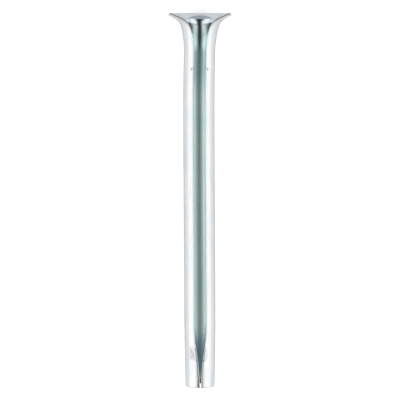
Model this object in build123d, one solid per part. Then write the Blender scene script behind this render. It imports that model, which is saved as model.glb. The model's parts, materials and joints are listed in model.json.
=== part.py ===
"""Slit sleeve of a hammer drive anchor, rolled from one strip of spring steel.

The sleeve is a tube that is open along its whole length. Its head is flared like a trumpet, and there the slit
opens out to both sides. At the tip the edges of the slit are turned into the bore and drawn together, so that
the end enters a drilled hole.

It is formed upright, with its axis on Z, its tip at Z = 0 and its slit towards -Y. It is then laid down as it
comes to rest on a table: slit up, head towards +Y, on the rim of the head and the end of the tip.
"""
from build123d import *
import os
from math import asin, atan2, cos, degrees, hypot, radians, sin

# Strip and shank, in millimetres
sleeve_length = 80.0
sheet = 0.6
shank_diameter = 6.7
slit_gap = 3.2

# Flare of the head: a slight bend up to neck_angle, a tighter bend and a straight lip that ends at the rim
head_diameter = 13.66
neck_radius = 22.0
neck_angle = 14.0
throat_radius = 3.0
lip_length = 1.5

# Opening of the slit in the flare, drawn in the same way as seen from the front, and where it ends on the rim,
# in degrees from the middle of the slit
rim_angle = 75.0
opening_neck_radius = 13.1
opening_neck_angle = 19.3
opening_throat_radius = 2.7
opening_lip_length = 3.0

# Tip: the slit closes over one stretch, and the edges beside it are turned in down to the end
tip_diameter = 6.3
closing_length = 8.0
crimp_length = 5.6
crimp_gap = 0.96
end_gap = 0.4
turned_width = 0.8
turned_radius = 0.95

# Spans that the tip is lofted over, reach of the slit's cutter past the sheet, and straight foot of the bell
closing_spans = 5
crimp_spans = 3
cutter_margin = 1.0
bell_root = 1.0

shank_radius = shank_diameter / 2
head_radius = head_diameter / 2
tip_radius = tip_diameter / 2
tip_length = crimp_length + closing_length


class Flare:
    """A line that widens from a neck to a rim by two tangent bends and a straight lip of a set length."""

    def __init__(self, neck, rim, first_radius, first_angle, second_radius, lip):
        first = radians(first_angle)
        lip_width = rim - neck - first_radius * (1 - cos(first)) - second_radius * cos(first)
        last = asin(lip_width / hypot(second_radius, lip)) + atan2(second_radius, lip)
        self.depth = first_radius * sin(first) + second_radius * (sin(last) - sin(first)) + lip * cos(last)
        self.neck = neck
        self.lip = lip
        self.lip_angle = last
        self.bends = (first_radius, -first_angle), (second_radius, first_angle - degrees(last))

    def edges(self, foot_height, rim_height):
        """Edges in the XZ plane, from the foot up to the rim."""
        neck_point = Vector(self.neck, rim_height - self.depth)
        straight = Line((self.neck, foot_height), neck_point)
        neck_bend = JernArc(neck_point, (0, 1), *self.bends[0])
        throat_bend = JernArc(neck_bend @ 1, neck_bend % 1, *self.bends[1])
        lip = Line(throat_bend @ 1, (throat_bend @ 1) + (throat_bend % 1) * self.lip)
        return [(Plane.XZ * line).edge() for line in (straight, neck_bend, throat_bend, lip)]


rim_half_gap = head_radius * sin(radians(rim_angle))
wall_flare = Flare(shank_radius, head_radius, neck_radius, neck_angle, throat_radius, lip_length)
opening_flare = Flare(
    slit_gap / 2, rim_half_gap, opening_neck_radius, opening_neck_angle, opening_throat_radius, opening_lip_length
)
rim_corner_height = sleeve_length - sheet * sin(wall_flare.lip_angle)
bell_foot = rim_corner_height - max(wall_flare.depth, opening_flare.depth) - bell_root


def slit_cutter():
    """Prism with the outline of the slit in the bell, which cuts the front of the skin only."""
    top = rim_corner_height + cutter_margin
    side = opening_flare.edges(bell_foot, rim_corner_height)
    foot = Line((0, bell_foot), (slit_gap / 2, bell_foot))
    end = Polyline((rim_half_gap, rim_corner_height), (rim_half_gap, top), (0, top), (0, bell_foot))
    closing = (Plane.XZ * foot).edges() + (Plane.XZ * end).edges()
    half = extrude(Face(Wire(side + closing)), head_radius + cutter_margin, dir=(0, -1, 0))
    return half + mirror(half, about=Plane.YZ)


def bell():
    """Flared head: the outer skin is revolved, opened by the slit and thickened towards the bore."""
    wall = wall_flare.edges(bell_foot, rim_corner_height)
    skin = Shell([Face.revolve(edge, 360, Axis.Z) for edge in wall])
    return Solid.thicken(skin - slit_cutter(), -sheet)


def c_section(height, radius, gap, edge_radius):
    """C-shaped section of the sheet, whose edges beside the gap are bent to edge_radius over turned_width."""
    turn = turned_width / edge_radius
    inset = radius - edge_radius
    reach = hypot(inset + edge_radius * cos(turn), edge_radius * sin(turn))
    start = asin(gap / 2 / reach) + atan2(edge_radius * sin(turn), inset + edge_radius * cos(turn))
    centre = Vector(inset * sin(start), -inset * cos(start))
    front = -90
    bend_start = front + degrees(start - turn)
    outer = CenterArc((0, 0), radius, front + degrees(start), 360 - 2 * degrees(start))
    inner = CenterArc((0, 0), radius - sheet, front + degrees(start), 360 - 2 * degrees(start))
    outer_bend = CenterArc(centre, edge_radius, bend_start, degrees(turn))
    inner_bend = CenterArc(centre, edge_radius - sheet, bend_start, degrees(turn))
    cut = Line(inner_bend @ 0, outer_bend @ 0)
    side = [line.edge() for line in (inner_bend, cut, outer_bend)]
    far_side = [mirror(edge, about=Plane.YZ).edge() for edge in side]
    outline = Wire([outer.edge(), inner.edge()] + side + far_side)
    return Pos(0, 0, height) * Face(outline)


def shank():
    """Straight part of the tube, between the tip and the bell."""
    return extrude(c_section(tip_length, shank_radius, slit_gap, shank_radius), bell_foot - tip_length)


def tip():
    """Lead-in, lofted through sections from the shank down to the end."""
    heights = [tip_length - closing_length * i / closing_spans for i in range(closing_spans)]
    heights += [crimp_length * (1 - i / crimp_spans) for i in range(crimp_spans + 1)]
    return loft([tip_section(height) for height in heights])


def tip_section(height):
    """Section of the lead-in, where closing runs smoothly from 0 at the shank to 1 at the crimp."""
    share = min((tip_length - height) / closing_length, 1)
    closing = share * share * (3 - 2 * share)
    crimp_share = max(1 - height / crimp_length, 0)
    gap = slit_gap + (crimp_gap - slit_gap) * closing + (end_gap - crimp_gap) * crimp_share
    bend = 1 / shank_radius + (1 / turned_radius - 1 / shank_radius) * closing
    radius = tip_radius + (shank_radius - tip_radius) * height / tip_length
    return c_section(height, radius, gap, min(1 / bend, radius))


def laid_down(sleeve):
    """Sleeve on its back on the table, on the rim and the tip, with the middle of its footprint at the origin."""
    tilt = degrees(atan2(head_radius - tip_radius, rim_corner_height))
    lying = Rot(X=tilt - 90) * sleeve
    box = lying.bounding_box()
    return Pos(-box.center().X, -box.center().Y, -box.min.Z) * lying


slit_sleeve = laid_down(bell() + shank() + tip())
print(f"slit_sleeve: {slit_sleeve.volume:.1f} mm3 in {slit_sleeve.bounding_box().size}")

os.makedirs("parts", exist_ok=True)
export_step(slit_sleeve, "parts/slit_sleeve.step")
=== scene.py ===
# %% [markdown]
# # A slit sleeve anchor, rolled from zinc-plated strip
#
# The object is one strip of spring steel, rolled into a tube that stays open along its whole length. One
# end is flared like a trumpet and the other is crimped so that it starts easily in a drilled hole. The
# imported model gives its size, its place and how it lies on the table. This lesson dresses it: a smooth
# sheet with soft edges, a bright zinc finish, a pale table and soft light.

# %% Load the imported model
import json
import math

import bpy
import numpy as np
from mathutils import Matrix, Vector


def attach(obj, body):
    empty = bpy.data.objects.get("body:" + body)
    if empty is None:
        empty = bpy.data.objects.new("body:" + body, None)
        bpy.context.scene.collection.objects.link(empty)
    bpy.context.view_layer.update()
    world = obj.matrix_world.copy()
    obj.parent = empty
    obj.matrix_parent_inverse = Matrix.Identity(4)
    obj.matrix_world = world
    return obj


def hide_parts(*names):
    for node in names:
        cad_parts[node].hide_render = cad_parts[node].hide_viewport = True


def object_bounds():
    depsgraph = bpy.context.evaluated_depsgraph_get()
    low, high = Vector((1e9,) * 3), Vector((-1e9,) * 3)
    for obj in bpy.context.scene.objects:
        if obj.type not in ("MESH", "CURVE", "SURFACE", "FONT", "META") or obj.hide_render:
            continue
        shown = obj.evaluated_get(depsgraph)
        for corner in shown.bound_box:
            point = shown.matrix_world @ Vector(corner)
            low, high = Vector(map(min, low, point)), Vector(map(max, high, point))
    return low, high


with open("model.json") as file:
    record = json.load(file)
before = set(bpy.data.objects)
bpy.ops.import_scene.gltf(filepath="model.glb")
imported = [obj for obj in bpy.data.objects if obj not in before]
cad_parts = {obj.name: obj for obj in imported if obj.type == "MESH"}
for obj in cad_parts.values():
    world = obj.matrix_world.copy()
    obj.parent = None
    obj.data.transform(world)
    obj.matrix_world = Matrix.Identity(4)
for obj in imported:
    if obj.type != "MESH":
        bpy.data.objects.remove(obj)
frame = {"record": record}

CAD_LOW, CAD_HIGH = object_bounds()
print("packed model from", tuple(round(v, 4) for v in CAD_LOW), "to", tuple(round(v, 4) for v in CAD_HIGH))

# %% [markdown]
# ## The sleeve's own axis
#
# The sleeve lies on its rim and its tip, so its axis climbs a little towards the head. It could be found
# by fitting a line to the mesh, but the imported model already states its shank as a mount, with a point
# on the axis and a direction. Everything below is worked out upright, in millimetres, with the tip at
# height 0 and the slit facing -Y, and one matrix then lays it down along that axis.

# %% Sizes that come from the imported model
MM = 0.001
SHANK = next(mount for mount in frame["record"]["mounts"] if mount["name"] == "shank")
SHANK_RADIUS = SHANK["dims"]["r_mm"]
SHANK_LENGTH = SHANK["dims"]["length_mm"]
HEAD_RADIUS = CAD_HIGH.x / MM

# %% Sizes of the sheet, in millimetres
LENGTH = 80.0
SHEET = 0.6
EDGE_ROUNDING = 0.1
SLIT_GAP = 3.2

# Tip: where the slit closes, and how its edges are turned in
TIP_RADIUS = 3.15
CLOSING_LENGTH = 8.0
CRIMP_LENGTH = 5.6
CRIMP_GAP = 0.96
END_GAP = 0.1
TURNED_WIDTH = 0.8
CRIMPED_WIDTH = 0.32
TURNED_RADIUS = 0.95
TIP_LENGTH = CLOSING_LENGTH + CRIMP_LENGTH

# %% The matrix that lays the sleeve down
UP_THE_SLEEVE = -Vector(SHANK["axis"]).normalized()
OUT_OF_SLIT = Vector((1, 0, 0)).cross(UP_THE_SLEEVE)
TIP_END = Vector(SHANK["pos_m"]) - UP_THE_SLEEVE * (TIP_LENGTH + SHANK_LENGTH / 2) * MM
LAY_DOWN = Matrix(((1, 0, 0), -OUT_OF_SLIT, UP_THE_SLEEVE)).transposed().to_4x4()
LAY_DOWN.translation = TIP_END
print("the axis climbs", round(math.degrees(math.asin(UP_THE_SLEEVE.z)), 2), "degrees towards the head")

# %% [markdown]
# ## The trumpet, as two bends and a lip
#
# A flare is spun over a rounded punch, so its wall is a chain of smooth bends: a slight one at the neck,
# a tighter one in the throat, and then a straight lip. A spline through hand-picked points would show
# small waves in the reflections, so the wall is written as arcs instead. The slit opens out in the same
# way, seen from the front, and the same function draws it.


# %% A line that flares from a neck to a rim
def flared_line(neck, rim, first_radius, first_angle, second_radius, lip, samples=400):
    """Width, depth below the rim, slope and length of a line that widens by two tangent arcs and a lip.

    The slope is the angle from the axis. Along an arc of radius R it grows by length / R, the width grows by
    R times the difference of the cosines, and the depth shrinks by R times the difference of the sines.
    """
    first = math.radians(first_angle)
    lip_width = rim - neck - first_radius * (1 - math.cos(first)) - second_radius * math.cos(first)
    last = math.asin(lip_width / math.hypot(second_radius, lip)) + math.atan2(second_radius, lip)
    length = np.linspace(0, first_radius * first + second_radius * (last - first) + lip, samples)
    on_first = np.minimum(length / first_radius, first)
    on_second = np.clip((length - first_radius * first) / second_radius, 0, last - first) + first
    on_lip = np.maximum(length - first_radius * first - second_radius * (last - first), 0)
    width = neck + first_radius * (1 - np.cos(on_first)) + on_lip * math.sin(last)
    width = width + second_radius * (math.cos(first) - np.cos(on_second))
    climb = first_radius * np.sin(on_first) + on_lip * math.cos(last)
    climb = climb + second_radius * (np.sin(on_second) - math.sin(first))
    slope = np.where(length < first_radius * first, on_first, on_second)
    return width, climb[-1] - climb, slope, length


# %% The wall of the flare, and the opening of the slit in it
RIM_ANGLE = 75.0
HALF_GAP_AT_RIM = HEAD_RADIUS * math.sin(math.radians(RIM_ANGLE))
WALL = flared_line(
    SHANK_RADIUS, HEAD_RADIUS, first_radius=22.0, first_angle=14.0, second_radius=3.0, lip=1.5
)
OPENING = flared_line(
    SLIT_GAP / 2, HALF_GAP_AT_RIM, first_radius=13.1, first_angle=19.3, second_radius=2.7, lip=3.0
)
LIP_SLOPE = WALL[2][-1]
RIM_HEIGHT = LENGTH - SHEET * math.sin(LIP_SLOPE)
FLARE_DEPTH = WALL[1][0]
print("flare is", round(FLARE_DEPTH, 2), "mm deep, its lip at", round(math.degrees(LIP_SLOPE), 1), "degrees")

# %% [markdown]
# ## Rows along the sleeve
#
# The surface is a grid: rows along the sleeve and columns around it. The flare, the marks below it and
# the crimped tip need many rows, while the straight shank needs few. A row is known by its length along
# the wall, measured from the rim's outer corner. The last rows at each end are drawn in, so that the
# ends of the sheet are rounded as its long edges are.

# %% How many rows, and how close, in millimetres and degrees
# Close rows run down MARKED_LENGTH of the wall below the flare, where the nicks are, and from ABOVE_TIP
# before the tip. STEEPEST_ROW is how far round the rounded end its first row stands.
ROWS_AT_EACH_END, ROWS_IN_FLARE, ROWS_IN_SHANK, ROWS_IN_TIP = 5, 72, 50, 90
MARKED_LENGTH, MARKED_SPACING, ABOVE_TIP = 8, 0.2, 2
STEEPEST_ROW = 80


# %% Row places, and how far each end row is drawn in
def row_places():
    """Lengths along the wall, in millimetres, from the rim to the tip, and each row's rounding inset."""
    flare_end = WALL[3][-1]
    total = flare_end + RIM_HEIGHT - FLARE_DEPTH
    shank_end = total - TIP_LENGTH - ABOVE_TIP
    corner = np.radians(np.linspace(STEEPEST_ROW, 0, ROWS_AT_EACH_END))
    stretches = [
        np.linspace(EDGE_ROUNDING, flare_end, ROWS_IN_FLARE)[1:],
        np.arange(flare_end + MARKED_SPACING, flare_end + MARKED_LENGTH, MARKED_SPACING),
        np.linspace(flare_end + MARKED_LENGTH, shank_end, ROWS_IN_SHANK),
        np.linspace(shank_end, total - EDGE_ROUNDING, ROWS_IN_TIP)[1:-1],
    ]
    ends = EDGE_ROUNDING * (1 - np.sin(corner))
    inset = EDGE_ROUNDING * (1 - np.cos(corner))
    places = np.concatenate([ends, *stretches, (total - ends)[::-1]])
    insets = np.concatenate([inset, np.zeros(sum(map(len, stretches))), inset[::-1]])
    return places, insets


PLACES, INSETS = row_places()
print(len(PLACES), "rows along", round(PLACES[-1], 1), "mm of wall")


# %% Radius, height and slope of each row
def wall_rows(places):
    """Outer radius, height and slope from the axis at each place: flare, then shank, then tapered tip."""
    up_the_flare = WALL[3][-1] - places
    in_flare = up_the_flare > 0
    radius = np.interp(up_the_flare, WALL[3], WALL[0])
    slope = np.where(in_flare, np.interp(up_the_flare, WALL[3], WALL[2]), 0)
    depth = np.where(in_flare, np.interp(up_the_flare, WALL[3], WALL[1]), FLARE_DEPTH - up_the_flare)
    height = RIM_HEIGHT - depth
    taper = np.clip(1 - height / TIP_LENGTH, 0, 1)
    return radius - (SHANK_RADIUS - TIP_RADIUS) * taper, height, slope


RADIUS, HEIGHT, SLOPE = wall_rows(PLACES)

# %% [markdown]
# ## The slit
#
# The slit is widest between the lips of the flare, narrows below the neck, runs almost parallel down the
# shank and closes at the tip, where its edges are bent inwards on a small radius. Rolled strip is never
# quite true: below the neck the slit springs a little narrower and runs a degree or two off the middle,
# at the tip it closes half a millimetre late, the tube bows by a quarter of a millimetre, and a small
# nick in each edge is left from the tool that holds the strip. These departures are far too small to
# matter to a drilled hole, so they are drawn here and not in the solid.

# %% Small departures from the ideal tube, in millimetres and degrees
NARROWING = 0.2
CLOSES_BETWEEN = (13.0, 5.0)
TWIST = 1.6
SETTLED_BELOW_RIM = 10.0
NICK_BELOW_RIM = 11.05
NICK_DEPTH = 0.1
NICK_SPREAD = 0.28
BOW = 0.24
BOW_TOP = 62.0


def rise(x, start, end):
    """Goes from 0 at start to 1 at end with level ends: three t squared, less two t cubed."""
    t = np.clip((x - start) / (end - start), 0, 1)
    return t * t * (3 - 2 * t)


# %% Gap, edge bend and twist of each row
def slit_rows(height, radius):
    """Width of the slit at the outer skin, radius and width of its bent edges, and twist, at each height."""
    below_rim = RIM_HEIGHT - height
    settled = rise(below_rim, 0, SETTLED_BELOW_RIM)
    closing = rise(height, *CLOSES_BETWEEN)
    crimped = np.clip(1 - height / CRIMP_LENGTH, 0, 1)
    gap = 2 * np.interp(-below_rim, -OPENING[1], OPENING[0])
    gap -= NARROWING * settled * (1 - closing)
    gap += (CRIMP_GAP - SLIT_GAP) * closing + (END_GAP - CRIMP_GAP) * crimped
    gap += 2 * NICK_DEPTH * np.exp(-(((below_rim - NICK_BELOW_RIM) / NICK_SPREAD) ** 2))
    bend = 1 / radius + (1 / TURNED_RADIUS - 1 / radius) * closing
    width = TURNED_WIDTH + (CRIMPED_WIDTH - TURNED_WIDTH) * closing
    return gap, 1 / bend, width, math.radians(TWIST) * settled


GAP, EDGE_RADIUS, EDGE_WIDTH, TWISTED = slit_rows(HEIGHT, RADIUS)
print("slit is", round(GAP.max(), 1), "mm wide at the rim and", round(GAP[-1], 2), "mm at the tip")

# %% [markdown]
# ## Columns around the sheet
#
# Each row is a closed loop round the strip's section: along the outer skin, round one rounded edge, back
# along the bore and round the other edge. A point on that loop is a place across the strip and a depth
# into it. The place is either in the turned edge, counted in millimetres from the cut, or on the main
# arc, counted as a share of it. The depth runs along the skin's normal, so the sheet is equally thick
# everywhere and is cut square.


# %% Loop columns
def loop_columns(corner_steps=5, edge_steps=8, arc_steps=120):
    """Side of the slit (1 is +X, -1 is -X, 0 the main arc), share of the edge or arc, and corner angle."""
    corner = np.radians(np.linspace(90, 0, corner_steps))
    edge = np.linspace(0, 1, edge_steps + 1)[1:]
    arc = np.linspace(0, 1, arc_steps + 1)[1:-1]
    side = np.concatenate([np.ones(corner_steps + edge_steps), np.zeros(len(arc))])
    side = np.concatenate([side, -np.ones(corner_steps + edge_steps)])
    share = np.concatenate([np.zeros(corner_steps), edge, arc, edge[::-1], np.zeros(corner_steps)])
    angle = np.concatenate([corner, np.zeros(2 * edge_steps + len(arc)), corner[::-1]])
    return side, share, angle


SIDE, SHARE, CORNER = loop_columns()
print(2 * len(SIDE), "columns around the section")


# %% Place in the sheet
def sheet_places(bore):
    """Distance from the cut and depth below the outer skin of each point of a skin, in millimetres.

    At a rounded corner both follow a quarter circle of radius r: r * (1 - sin) and r * (1 - cos) of its
    angle.
    """
    inset = INSETS[:, np.newaxis] + 0 * SIDE
    rounding = EDGE_ROUNDING - inset
    on_edge = EDGE_ROUNDING + SHARE * (EDGE_WIDTH[:, np.newaxis] - EDGE_ROUNDING)
    from_cut = np.where(CORNER > 0, inset + rounding * (1 - np.sin(CORNER)), on_edge)
    depth = inset + rounding * (1 - np.cos(CORNER))
    return from_cut, SHEET - depth if bore else depth


# %% Points of one skin
def skin_points(bore):
    """Points of a skin, as rows by columns by x, y, z, and the places that its finish is drawn from.

    A turned edge is an arc of the edge radius that touches the main arc where it starts. A point is the
    centre of its arc plus the radius times the direction of its normal, and its depth is then taken off
    along that normal, which leans with the slope of the wall.
    """
    from_cut, depth = sheet_places(bore)
    radius, edge_radius, edge_width, twist, slope, height, place = (
        row[:, np.newaxis] for row in (RADIUS, EDGE_RADIUS, EDGE_WIDTH, TWISTED, SLOPE, HEIGHT, PLACES)
    )
    turn = edge_width / edge_radius
    off_centre = radius - edge_radius
    reach_out = off_centre + edge_radius * np.cos(turn)
    reach_in = edge_radius * np.sin(turn)
    half_gap = GAP[:, np.newaxis] / 2
    start = np.arcsin(half_gap / np.hypot(reach_out, reach_in)) + np.arctan2(reach_in, reach_out)
    turned = start - (edge_width - from_cut) / edge_radius
    around = np.where(SIDE == 0, start + SHARE * (2 * np.pi - 2 * start), turned)
    around = np.where(SIDE == -1, 2 * np.pi - turned, around)
    arc_centre = np.where(SIDE == 0, 0, off_centre)
    centre_at = np.where(SIDE == -1, -start, start) + twist
    out = np.where(SIDE == 0, radius, edge_radius) - depth * np.cos(slope)
    x = arc_centre * np.sin(centre_at) + out * np.sin(around + twist)
    y = -arc_centre * np.cos(centre_at) - out * np.cos(around + twist)
    z = height + depth * np.sin(slope)
    cut = np.sqrt(np.sin(CORNER)) + 0 * x
    layout = np.stack([(around - np.pi) * radius, place + 0 * x, depth / SHEET, cut], axis=-1)
    return np.stack([x, y, z], axis=-1), layout


# %% Bow of the tube
def bowed(points):
    """Moves each point sideways by a slow bow, which is 0 at the rim and the tip and BOW at its fullest."""
    up = points[..., 2]
    shifted = points.copy()
    shifted[..., 0] -= BOW * np.where(up < BOW_TOP, rise(up, 0, BOW_TOP), rise(up, RIM_HEIGHT, BOW_TOP))
    return shifted


# %% [markdown]
# ## Joining the skins into one closed sheet
#
# The outer skin and the bore have the same columns, so they join along the long cuts by one strip of
# faces, and at the rim and the tip by a ladder of faces between matching columns. The whole sheet then
# has no open edge. Solidify could give a flat skin its thickness, but it would leave the cuts sharp, and
# here they catch the light.


# %% Faces of a closed sheet
def sheet_faces(rows, columns):
    """Quads over a grid that wraps round in columns, with both end rows closed by a ladder over the loop."""
    row = np.arange(rows - 1)[:, np.newaxis] * columns
    column = np.arange(columns)
    following = (column + 1) % columns
    next_row = row + columns
    skins = np.stack([row + column, next_row + column, next_row + following, row + following], axis=-1)
    rung = np.arange(columns // 2 - 1)
    across = columns - 1 - rung
    near_end = np.stack([rung, rung + 1, across - 1, across], axis=-1)
    far_end = near_end[:, ::-1] + (rows - 1) * columns
    return np.concatenate([skins.reshape(-1, 4), near_end, far_end])


# %% [markdown]
# ## The back of the bore
#
# Strip that is rolled round a mandrel springs open again, and most of that shows at the back, where the
# sheet is bent last: its bore is flatter there than a circle. The eye sees it at once, because a round
# bore would show a thin bright line between two black ones, and this one shades slowly from both sides
# to a dark middle. The depth of it is a few hundredths of a millimetre, so the points stay where they
# are and only their normals are turned.

# %% How flat the back looks: share of the curve that is taken out, spread in radians, and where it begins
FLATTER_BACK = 0.55
FLATTER_SPREAD = 1.3
FLATTER_FROM = (1.5, 7.0)


# %% Normals of a flatter back
def flatter_normals(mesh, layout):
    """Vertex normals, turned about the sleeve's axis in the bore as if its back were flatter than a circle.

    At an angle t from the middle of the back, a normal turns towards the one in the middle by
    FLATTER_BACK * t * exp(-(t / FLATTER_SPREAD)^2), from nothing at the rim to all of it further down.
    """
    normals = np.empty(3 * len(mesh.vertices))
    mesh.vertices.foreach_get("normal", normals)
    place = np.array(LAY_DOWN)[:3, :3]
    x, y, z = (normals.reshape(-1, 3) @ place).T
    around, along, depth = (layout[..., index].ravel() for index in (0, 1, 2))
    from_middle = around / np.repeat(RADIUS, layout.shape[1])
    turn = FLATTER_BACK * from_middle * np.exp(-((from_middle / FLATTER_SPREAD) ** 2))
    in_bore = depth > 0.5
    turn = turn * in_bore * rise(along, *FLATTER_FROM)
    cosine, sine = np.cos(turn), np.sin(turn)
    return np.stack([x * cosine + y * sine, y * cosine - x * sine, z], axis=-1) @ place.T


# %% [markdown]
# ## Where the finish changes
#
# The finish isn't the same everywhere. Inside, the film is thicker and greener. A painted reflection makes
# the bore a little brighter on the right side, and another makes it darker below the throat, most on the
# left; a painted dark reflection darkens its last millimetre. From where the slit starts to close, the bore
# is darker and greener, more on the left. The punch burnishes the throat and greys the lip, and the dark
# arch between them is a painted reflection. Painted shade darkens the throat's sides. The crimping jaws rub
# the edges at the tip, and painted shade draws a dark line along the folds of the crimped edges. The cuts
# are bare steel that the zinc covers thinly: brown grey in the flare, where the blade tore through and left
# a dark line along the bore's side, and further down painted nearly white, a painted highlight along the
# slit's edges. Each of these is a mask from 0 to 1 over the
# points, drawn from how far a point lies along the sheet and around it. A painted texture would need a
# picture of the surface, while a mask is one line of arithmetic. The colours are mixed here too, so that
# few shader nodes are left.

# %% Where each mask lies
# A pair says where a mask is 0 and where it has risen to 1, in millimetres: along the wall from the rim, or
# around it from the middle of its back. Only BORE_SIDE is a share of the sheet's thickness. What ends in
# AT_RIGHT or AT_LEFT is how strong a mask is on that side of the slit.
TOTAL = PLACES[-1]
CRIMP = TOTAL - CRIMP_LENGTH
BORE_SIDE = (0.5, 0.95)
LEFT_SIDE = (-1, 1)
# Painted reflection: the bore is a little brighter on the right, as its reflection is.
BRIGHT_SIDE = (0.0, -2.5)
THROAT_ENDS = (6.0, 3.0)
LIP_ENDS = (2.6, 1.8)
# Painted shade: the throat's sides are darker, where their reflections are dark.
SIDE_AROUND, SIDE_BEGINS, SIDE_ENDS = (2.0, 2.7), (1.9, 2.2), (4.2, 3.2)
# Painted reflection: a dark arch between the lip and the throat, darkest at the back.
ARCH_TOP, ARCH_CURVE, ARCH_BEGINS, ARCH_ENDS = 1.05, 0.12, (-0.3, 0.6), (2.6, 2.1)
STRIPE_REACH, STRIPE_AROUND = 0.4, (1.5, 0.5)
# Painted reflection: the bore is darker below the throat, most on the left.
DIM_BEGINS, DIM_ENDS, DIM_AT_RIGHT = (4.5, 7.5), (20.0, 12.0), 0.7
# The bore is darker and greener from where the slit starts to close, more on the left, fading over the last
# 5 mm.
DULL_BEGINS, DULL_ENDS, DULL_AT_RIGHT = (68.0, 74.0), (TOTAL + 1.0, TOTAL - 5.0), 0.6
# Painted reflection: the bore's last millimetre is dark.
BORE_ENDS = (TOTAL - 1.4, TOTAL - 0.6)
# Painted shade: a dark line along the folds of the crimped edges, stronger on the left and towards the end.
EDGE_AROUND, EDGE_BEGINS, EDGE_DOUBLES = (9.15, 9.4), (CRIMP - 0.4, CRIMP), (TOTAL - 1.8, TOTAL - 0.6)
EDGE_AT_RIGHT, EDGE_AT_LEFT = 0.1, 0.4
NICK_AT, NICK_REACH, NICK_BEGINS, NICK_ENDS = 12.75, (0.35, 0.1), (8.45, 8.75), (9.4, 9.2)
DOT_AT, DOT_REACH, DOT_AROUND = CRIMP - 0.35, (0.35, 0.05), (9.1, 9.4)
END_AT_RIM, END_AT_TIP = (0.2, 0.05), (TOTAL - 0.25, TOTAL - 0.08)
TORN_ENDS = (5.2, 2.8)


# %% Masks over the sheet
def finish_masks(around, along, depth, cut):
    """One mask for each change of finish, by length along the sheet and length around it from its back."""
    from_back = np.abs(around)
    left = rise(around, *LEFT_SIDE)
    bore = rise(depth, *BORE_SIDE)
    side = bore * rise(from_back, *SIDE_AROUND)
    arch = bore * rise(along - ARCH_TOP - ARCH_CURVE * around**2, *ARCH_BEGINS)
    above_stripe = STRIPE_REACH * rise(from_back, *STRIPE_AROUND)
    dim = bore * rise(along, *DIM_BEGINS) * rise(along, *DIM_ENDS)
    dull = bore * rise(along, *DULL_BEGINS) * rise(along, *DULL_ENDS)
    painted_shade_crease_line = rise(from_back, *EDGE_AROUND) * rise(along, *EDGE_BEGINS) * (1 + rise(along, *EDGE_DOUBLES))
    nick = rise(np.abs(along - NICK_AT), *NICK_REACH) * rise(from_back, *NICK_BEGINS)
    return {
        "bore": bore,
        "painted_reflection_bright_side": bore * rise(around, *BRIGHT_SIDE),
        "throat": bore * rise(along, *THROAT_ENDS),
        "lip": bore * rise(along, *LIP_ENDS),
        "painted_shade_throat_side": side * rise(along, *SIDE_BEGINS) * rise(along, *SIDE_ENDS),
        "painted_reflection_dark_arch": arch * rise(along - above_stripe, *ARCH_ENDS),
        "painted_reflection_below_throat": dim * (DIM_AT_RIGHT + (1 - DIM_AT_RIGHT) * left),
        "dull_tip": dull * (DULL_AT_RIGHT + (1 - DULL_AT_RIGHT) * left),
        "painted_reflection_bore_end": bore * rise(along, *BORE_ENDS),
        "painted_shade_crease_line": painted_shade_crease_line * (EDGE_AT_RIGHT + (EDGE_AT_LEFT - EDGE_AT_RIGHT) * left),
        "nick": nick * rise(from_back, *NICK_ENDS),
        "crimp_dot": rise(np.abs(along - DOT_AT), *DOT_REACH) * rise(from_back, *DOT_AROUND),
        "end": rise(along, *END_AT_RIM) + rise(along, *END_AT_TIP),
        "cut": cut,
        "cut_in_flare": cut * rise(along, *TORN_ENDS),
    }


# %% What lies over what, from the outer skin's zinc to the bare steel of the cuts
OUTER_ZINC = "#C8C7C6"
FINISHES = {
    "bore": "#C9DEDA",
    # painted reflection: brighter on the right side of the bore
    "painted_reflection_bright_side": "#D5ECE7",
    "throat": "#DCE6E6",
    "lip": "#D0D0D2",
    # painted shade on the throat's sides
    "painted_shade_throat_side": "#B8C1C7",
    # painted dark reflection: an arch between lip and throat
    "painted_reflection_dark_arch": "#8A929B",
    # painted darker reflection below the throat
    "painted_reflection_below_throat": "#A3BCBD",
    # darker and greener where the slit closes, more on the left
    "dull_tip": "#8FB2BA",
    # painted dark reflection at the bore's end
    "painted_reflection_bore_end": "#687C7E",
    # painted shade along the folds of the crimped edges
    "painted_shade_crease_line": "#6E6462",
    "nick": "#7A6C66",
    "crimp_dot": "#6B5C55",
    "end": "#ADA6A2",
    # bare steel cut and rounded edge; its near white is a painted highlight along the slit's edges
    "cut": "#F2F4F4",
    "cut_in_flare": "#D4CFCC",
}


# %% Colour of each point
def linear(hex_colour):
    """Linear RGBA from an sRGB hex value."""
    channels = [int(hex_colour[i:i + 2], 16) / 255 for i in (1, 3, 5)]
    return [c / 12.92 if c <= 0.04045 else ((c + 0.055) / 1.055) ** 2.4 for c in channels] + [1.0]


def mixed_finish(masks):
    """Linear colour of each point: every finish is mixed over the ones before it by its mask."""
    colour = np.array(linear(OUTER_ZINC))
    for name, hex_colour in FINISHES.items():
        colour = colour + masks[name][..., np.newaxis] * (np.array(linear(hex_colour)) - colour)
    return colour


# %% Roughness, grain and scuffs
# Each MATT is the middle of a roughness, and each GRAIN is how widely the lines of the rolls spread it. The
# scuffs reach further from the slit on the left. They lean in to it by SCUFF_SLANT in each millimetre.
OUTER_MATT, THROAT_MATT, BORE_MATT, CUT_MATT = 0.23, 0.14, 0.21, 0.55
MATT_BELOW_THROAT = (5.0, 12.0)
OUTER_GRAIN, BORE_GRAIN = 0.35, 0.2
CUT_METAL = 0.15
RUB_AROUND, RUB_FURTHER_AT_LEFT = (8.4, 9.2), 1.1
RUB_BEGINS, RUB_ENDS = (CRIMP - 3.8, CRIMP - 2.4), (CRIMP - 0.2, CRIMP - 0.9)
SCUFF_SLANT = 0.4


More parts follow.
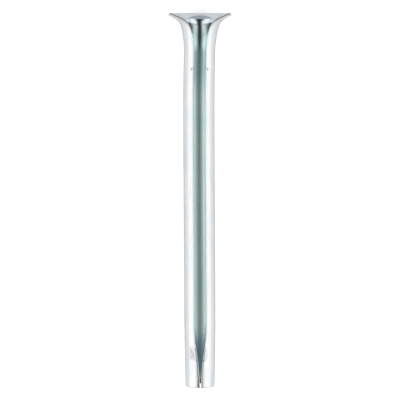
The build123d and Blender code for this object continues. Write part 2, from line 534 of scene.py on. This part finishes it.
# %% Store the finish on the mesh
def store_finish(mesh, layout):
    """Attributes that the material reads: places for its noises, colour, and how matt and metallic it is."""
    around, along, depth, cut = np.moveaxis(layout, -1, 0)
    masks = finish_masks(around, along, depth, cut)
    bore = masks["bore"]
    from_back = np.abs(around)
    towards_slit = from_back + RUB_FURTHER_AT_LEFT * rise(around, *LEFT_SIDE)
    rubbed = rise(towards_slit, *RUB_AROUND) * rise(along, *RUB_BEGINS) * rise(along, *RUB_ENDS) * (1 - cut)
    grain = (OUTER_GRAIN + (BORE_GRAIN - OUTER_GRAIN) * bore) * (1 - cut)
    bore_matt = THROAT_MATT + (BORE_MATT - THROAT_MATT) * rise(along, *MATT_BELOW_THROAT)
    matt = OUTER_MATT + bore * (bore_matt - OUTER_MATT)
    matt = matt + cut * (CUT_MATT - matt) - grain / 2
    scuff_across = from_back - SCUFF_SLANT * along
    for name, kind, field, values in (
        ("sheet_place", "FLOAT_VECTOR", "vector", np.stack([around, along, depth], axis=-1)),
        ("scuff_place", "FLOAT_VECTOR", "vector", np.stack([scuff_across, along, depth], axis=-1)),
        ("finish_colour", "FLOAT_COLOR", "color", mixed_finish(masks)),
        ("matt", "FLOAT", "value", matt),
        ("grain", "FLOAT", "value", grain),
        ("metal", "FLOAT", "value", 1 + (CUT_METAL - 1) * cut),
        ("rubbed", "FLOAT", "value", rubbed),
        ("torn", "FLOAT", "value", masks["cut_in_flare"]),
    ):
        mesh.attributes.new(name, kind, "POINT").data.foreach_set(field, values.ravel())


# %% Make the sleeve
def make_sleeve():
    """The sleeve's mesh: both skins side by side in one loop, laid down and in metres."""
    outer, outer_layout = skin_points(bore=False)
    inner, inner_layout = skin_points(bore=True)
    points = bowed(np.concatenate([outer, inner[:, ::-1]], axis=1))
    layout = np.concatenate([outer_layout, inner_layout[:, ::-1]], axis=1)
    rows, columns = layout.shape[:2]
    place = np.array(LAY_DOWN)
    laid_down = points.reshape(-1, 3) * MM @ place[:3, :3].T + place[:3, 3]
    mesh = bpy.data.meshes.new("slit_sleeve_sheet")
    mesh.from_pydata(laid_down, [], sheet_faces(rows, columns))
    mesh.shade_smooth()
    store_finish(mesh, layout)
    mesh.update()
    mesh.normals_split_custom_set_from_vertices(flatter_normals(mesh, layout))
    piece = bpy.data.objects.new("slit_sleeve_sheet", mesh)
    bpy.context.scene.collection.objects.link(piece)
    print("sleeve mesh:", rows * columns, "points,", len(mesh.polygons), "faces")
    return piece


SLEEVE = make_sleeve()
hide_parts("slit_sleeve")
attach(SLEEVE, "root")


# %% Check the sheet: closed, with its faces outwards
def enclosed_volume(mesh):
    """Volume in cubic metres: a sixth of the sum of a . (b x c) over the triangles."""
    mesh.calc_loop_triangles()
    triangles = np.empty(3 * len(mesh.loop_triangles), int)
    mesh.loop_triangles.foreach_get("vertices", triangles)
    points = np.empty(3 * len(mesh.vertices))
    mesh.vertices.foreach_get("co", points)
    a, b, c = points.reshape(-1, 3)[triangles].reshape(-1, 3, 3).transpose(1, 0, 2)
    return np.einsum("ij,ij->", a, np.cross(b, c)) / 6


print("sheet encloses", round(enclosed_volume(SLEEVE.data) / MM**3, 1), "mm3, less than 0 if inside out")

# %% [markdown]
# ## Bright zinc
#
# The strip is cold rolled, plated with zinc and dipped in a blue passivation, a film so thin that it
# only tints the metal. A mirror would be too clean: the rolls leave fine lines along the strip, and the
# film lies in faint clouds. The lines are about 0.02 mm apart on the real strip. Here they are 0.16 mm
# apart, which is as coarse as they must be to show at all. They are noise stretched along the sheet's
# own places, so they follow the flare, which a picture of brushed metal would not. The jaws' scuffs are
# noise too, slanting in to the slit.


# %% Add a node
def add_node(tree, kind, *inputs, output=None, **settings):
    """Adds a node, sets its properties, fills its inputs in order and returns the named or the first output.

    An input is a value, or another node's output to link. Sockets that are switched off are passed over.
    """
    node = tree.nodes.new("ShaderNode" + kind)
    for name, value in settings.items():
        setattr(node, name, value)
    in_use = [socket for socket in node.inputs if socket.enabled]
    for socket, value in zip(in_use, inputs):
        if isinstance(value, bpy.types.NodeSocket):
            tree.links.new(value, socket)
        else:
            socket.default_value = value
    return node.outputs[output] if output else [socket for socket in node.outputs if socket.enabled][0]


# %% Noises: size of their cells across and along the sheet, in millimetres, and the part of them that shows
# The skins lie one unit of depth apart, and BETWEEN_SKINS spreads that so far that their patterns differ.
CLOUD_SIZE, CLOUD_RANGE = (2.2, 7.0), (0.4, 0.65)
SCUFF_SIZE, SCUFF_RANGE, SCUFF_AT_LEAST = (0.4, 2.0), (0.35, 0.6), 0.4
LINE_SIZE = (0.16, 18.0)
BETWEEN_SKINS = 7.0
SCALE_AND_DETAIL = (1.0, 2.0)
TORN_LINE_DEPTH, TORN_LINE_REACH = 0.9, (0.4, 0.12)
CLEAR, CLOUD_TINT = "#FFFFFF", "#F6FBFF"
SCUFF_GREY, TORN_BROWN, GRAZING_TINT = "#A5A3A8", "#67625F", "#D0D4D8"
SMOOTH = {"interpolation_type": "SMOOTHSTEP"}


def cells(across, along):
    """Factors by which a place on the sheet is multiplied, to get noise cells of this size."""
    return 1 / across, 1 / along, BETWEEN_SKINS


# %% Colour of the zinc
def zinc_colour(tree):
    """The points' colour, tinted by clouds of the film, with scuffs over it and a dark line in torn cuts."""
    place = add_node(tree, "Attribute", attribute_name="sheet_place", output="Vector")
    cloud_place = add_node(tree, "VectorMath", place, cells(*CLOUD_SIZE), operation="MULTIPLY")
    clouds = add_node(tree, "TexNoise", cloud_place, *SCALE_AND_DETAIL)
    cloudy = add_node(tree, "MapRange", clouds, *CLOUD_RANGE, 0.0, 1.0, **SMOOTH)
    tint = add_node(tree, "Mix", cloudy, linear(CLEAR), linear(CLOUD_TINT), data_type="RGBA")
    colour = add_node(tree, "Attribute", attribute_name="finish_colour", output="Color")
    colour = add_node(tree, "Mix", 1.0, colour, tint, data_type="RGBA", blend_type="MULTIPLY")
    scuff_place = add_node(tree, "Attribute", attribute_name="scuff_place", output="Vector")
    scuff_place = add_node(tree, "VectorMath", scuff_place, cells(*SCUFF_SIZE), operation="MULTIPLY")
    scuffs = add_node(tree, "TexNoise", scuff_place, *SCALE_AND_DETAIL)
    scuffs = add_node(tree, "MapRange", scuffs, *SCUFF_RANGE, SCUFF_AT_LEAST, 1.0, **SMOOTH)
    rubbed = add_node(tree, "Attribute", attribute_name="rubbed", output="Fac")
    scuffed = add_node(tree, "Math", scuffs, rubbed, operation="MULTIPLY")
    colour = add_node(tree, "Mix", scuffed, colour, linear(SCUFF_GREY), data_type="RGBA")
    depth = add_node(tree, "SeparateXYZ", place, output="Z")
    off_line = add_node(tree, "Math", depth, TORN_LINE_DEPTH, operation="SUBTRACT")
    off_line = add_node(tree, "Math", off_line, operation="ABSOLUTE")
    line = add_node(tree, "MapRange", off_line, *TORN_LINE_REACH, 0.0, 1.0, **SMOOTH)
    torn = add_node(tree, "Attribute", attribute_name="torn", output="Fac")
    torn_line = add_node(tree, "Math", line, torn, operation="MULTIPLY")
    return add_node(tree, "Mix", torn_line, colour, linear(TORN_BROWN), data_type="RGBA")


# %% Bright zinc with a blue passivation
def zinc_material():
    """Metal with the colour above, whose roughness rises and falls by the lines of the rolls."""
    material = bpy.data.materials.new("bright_zinc_blue_passivated")
    material.use_nodes = True
    tree = material.node_tree
    place = add_node(tree, "Attribute", attribute_name="sheet_place", output="Vector")
    line_place = add_node(tree, "VectorMath", place, cells(*LINE_SIZE), operation="MULTIPLY")
    lines = add_node(tree, "TexNoise", line_place, *SCALE_AND_DETAIL)
    grain, matt, metal = (
        add_node(tree, "Attribute", attribute_name=name, output="Fac") for name in ("grain", "matt", "metal")
    )
    roughness = add_node(tree, "Math", lines, grain, matt, operation="MULTIPLY_ADD")
    shader = tree.nodes["Principled BSDF"]
    tree.links.new(zinc_colour(tree), shader.inputs["Base Color"])
    tree.links.new(roughness, shader.inputs["Roughness"])
    tree.links.new(metal, shader.inputs["Metallic"])
    shader.inputs["Specular Tint"].default_value = linear(GRAZING_TINT)
    print(len(tree.nodes), "nodes in the finish")
    return material


SLEEVE.data.materials.append(zinc_material())

# %% [markdown]
# ## Table
#
# The sleeve lies on a plain sheet of matt white card. In a photo like this one the card is lit until it
# is almost pure white, and only a breath of shadow is left under the sleeve. More light would do that,
# but it would also burn out the metal, so the card glows a little of its own instead.


# %% Table
CARD, GLOW = "#F2F2F2", "#FFFFFF"
CARD_GLOW, CARD_ROUGHNESS, CARD_SHINE = 0.4, 0.9, 0.1
HALF_CARD = 3.0


def make_table():
    """A flat square at height 0 with a little glow, to stand in for a card that is also lit from below."""
    mesh = bpy.data.meshes.new("table")
    corners = [(x * HALF_CARD, y * HALF_CARD, 0) for x, y in ((-1, -1), (1, -1), (1, 1), (-1, 1))]
    mesh.from_pydata(corners, [], [(0, 1, 2, 3)])
    table = bpy.data.objects.new("table", mesh)
    bpy.context.scene.collection.objects.link(table)
    material = bpy.data.materials.new("matt_white_card")
    material.use_nodes = True
    shader = material.node_tree.nodes["Principled BSDF"]
    shader.inputs["Base Color"].default_value = linear(CARD)
    shader.inputs["Emission Color"].default_value = linear(GLOW)
    shader.inputs["Emission Strength"].default_value = CARD_GLOW
    shader.inputs["Roughness"].default_value = CARD_ROUGHNESS
    shader.inputs["Specular IOR Level"].default_value = CARD_SHINE
    mesh.materials.append(material)
    print("table is", 2 * HALF_CARD, "m wide")


make_table()

# %% [markdown]
# ## Soft light from both sides
#
# Polished metal shows its surroundings more than itself, so the look is made by what it reflects. Here
# that is a light tent: bright cloth on both sides, with a slot between them overhead, where the camera
# looks in. The slot is grey above the sleeve and darkest in front of its head, and it makes the dark
# stripe down the bore. Each cloth also has a dim gap towards the head, which makes the two dark pockets
# in the throat.
#
# Hanging cards would do the same, but they would stand in the way of other views. The tent is a world
# shader instead, which turns a direction into a brightness. Three angles place it: across, from the
# upright plane along the sleeve; towards the head, from the level of the shank's middle; and ahead, from
# overhead down to the horizon in front of the head. The camera itself sees plain white behind the
# table's edge.

# %% The tent, in degrees and in brightness
CLOTH_WHITE = "#FDFEFF"
CLOTH, CLOTH_AT_HEAD, HEAD_FROM = 1.78, 1.2, (34.0, 46.0)
SLOT_OVERHEAD, SLOT_AHEAD, SLOT_AT_HORIZON = 0.26, 0.02, 0.3
AHEAD, HORIZON, BEHIND = (-10.0, 7.0), (74.0, 92.0), (-50.0, -22.0)
SLOT_HALF, SLOT_WIDENS, CLOTH_FROM = (0.0, 4.5), (-10.0, 30.0), (41.0, 17.0)
SLOT_OFFSET, OFFSET_BETWEEN = (1.0, 2.5), (15.0, 45.0)
GAP_FROM, GAP_TO, GAP_SIDE, GAP_LEAVES = (6.0, 17.0), (43.0, 52.0), (24.0, 46.0), (0.48, 0.08)


# %% Slot
def slot_light(tree, ahead):
    """Brightness of the slot: grey overhead, nearly black before the head, and cloth again past the tip."""
    overhead = add_node(tree, "MapRange", ahead, *AHEAD, SLOT_OVERHEAD, SLOT_AHEAD, **SMOOTH)
    horizon = add_node(tree, "MapRange", ahead, *HORIZON, 0.0, SLOT_AT_HORIZON, **SMOOTH)
    behind = add_node(tree, "MapRange", ahead, *BEHIND, CLOTH, 0.0, **SMOOTH)
    in_front = add_node(tree, "Math", overhead, horizon, operation="ADD")
    return add_node(tree, "Math", in_front, behind, operation="ADD")


# %% Edge of the cloth
def beside_slot(tree, across, towards_head):
    """Degrees from the middle of the slot to either side."""
    offset = add_node(tree, "MapRange", towards_head, *OFFSET_BETWEEN, *SLOT_OFFSET, **SMOOTH)
    beside = add_node(tree, "Math", across, offset, operation="SUBTRACT")
    return add_node(tree, "Math", beside, operation="ABSOLUTE")


def share_of_cloth(tree, side, ahead):
    """0 in the slot and 1 in the cloth beside it."""
    inner = add_node(tree, "MapRange", ahead, *SLOT_WIDENS, *SLOT_HALF, **SMOOTH)
    outer = add_node(tree, "MapRange", ahead, *AHEAD, *CLOTH_FROM, **SMOOTH)
    return add_node(tree, "MapRange", side, inner, outer, 0.0, 1.0, **SMOOTH)


# %% Cloth
def cloth_light(tree, side, towards_head):
    """Brightness of the cloth: lower at the head, and lower still in its gap."""
    begun = add_node(tree, "MapRange", towards_head, *GAP_FROM, 0.0, 1.0, **SMOOTH)
    not_ended = add_node(tree, "MapRange", towards_head, *GAP_TO, 1.0, 0.0, **SMOOTH)
    in_gap = add_node(tree, "Math", begun, not_ended, operation="MULTIPLY")
    leaves = add_node(tree, "MapRange", side, *GAP_SIDE, *GAP_LEAVES, **SMOOTH)
    kept = add_node(tree, "Mix", in_gap, 1.0, leaves)
    level = add_node(tree, "MapRange", towards_head, *HEAD_FROM, CLOTH, CLOTH_AT_HEAD, **SMOOTH)
    return add_node(tree, "Math", level, kept, operation="MULTIPLY")


# %% Light tent
def light_tent():
    """World shader that mixes slot and cloth by direction, and shows the camera a plain white."""
    world = bpy.data.worlds.new("light_tent")
    bpy.context.scene.world = world
    world.use_nodes = True
    tree = world.node_tree
    direction = add_node(tree, "TexCoord", output="Generated")
    x, y, z = (add_node(tree, "SeparateXYZ", direction, output=axis) for axis in "XYZ")
    ahead = add_node(tree, "Math", y, z, operation="ARCTAN2")
    across, towards_head = (add_node(tree, "Math", part, operation="ARCSINE") for part in (x, y))
    ahead, across, towards_head = (
        add_node(tree, "Math", angle, operation="DEGREES") for angle in (ahead, across, towards_head)
    )
    side = beside_slot(tree, across, towards_head)
    share = share_of_cloth(tree, side, ahead)
    light = add_node(tree, "Mix", share, slot_light(tree, ahead), cloth_light(tree, side, towards_head))
    camera = add_node(tree, "LightPath", output="Is Camera Ray")
    tree.links.new(add_node(tree, "Mix", camera, light, 1.0), tree.nodes["Background"].inputs["Strength"])
    tree.nodes["Background"].inputs["Color"].default_value = linear(CLOTH_WHITE)
    print(len(tree.nodes), "nodes in the tent")


light_tent()

# %% [markdown]
# ## Light inside the bore
#
# Light that enters through the slit bounces many times between the walls before it comes out again. With
# the usual four bounces the sides of the bore turn black, and with twelve they are as bright as they
# should be.

# %% Bounces
bpy.context.scene.cycles.glossy_bounces = 12

# %% [markdown]
# ## Camera
#
# The photo looks straight at the rim's edge, which shows as a level line, while the bottom of the bore
# shows below the tip's near edge. So the camera stands in the plane of the rim, square to the slit, and
# turns down towards the middle of the sleeve. Its distance is taken from how much narrower the tip looks
# than it is.

# %% Camera: pixels of the picture, rows from its top, and millimetres
IMAGE_PIXELS = 400
CENTRE_ROW = 200.0
RIM_ROW = 13.5
PIXEL_SIZE = 0.21368
CAMERA_DISTANCE = 455.0
NEAREST_SEEN = 10.0


def make_camera():
    """A camera in the rim's plane that shows PIXEL_SIZE millimetres in a pixel at the sleeve's middle."""
    data = bpy.data.cameras.new("camera")
    camera = bpy.data.objects.new("camera", data)
    bpy.context.scene.collection.objects.link(camera)
    bpy.context.scene.camera = camera
    rim = TIP_END + UP_THE_SLEEVE * LENGTH * MM
    middle = rim - UP_THE_SLEEVE * (CENTRE_ROW - RIM_ROW) * PIXEL_SIZE * MM
    place = rim + OUT_OF_SLIT * CAMERA_DISTANCE * MM
    back = (place - middle).normalized()
    right = UP_THE_SLEEVE.cross(back).normalized()
    turn = Matrix((right, back.cross(right), back)).transposed()
    camera.matrix_world = Matrix.Translation(place) @ turn.to_4x4()
    data.sensor_fit = "HORIZONTAL"
    data.angle = 2 * math.atan(IMAGE_PIXELS / 2 * PIXEL_SIZE * MM / (place - middle).length)
    data.clip_start = NEAREST_SEEN * MM
    print("camera sees", round(IMAGE_PIXELS * PIXEL_SIZE, 1), "mm across at the sleeve's middle")


make_camera()
bpy.context.scene.view_settings.view_transform = "Standard"
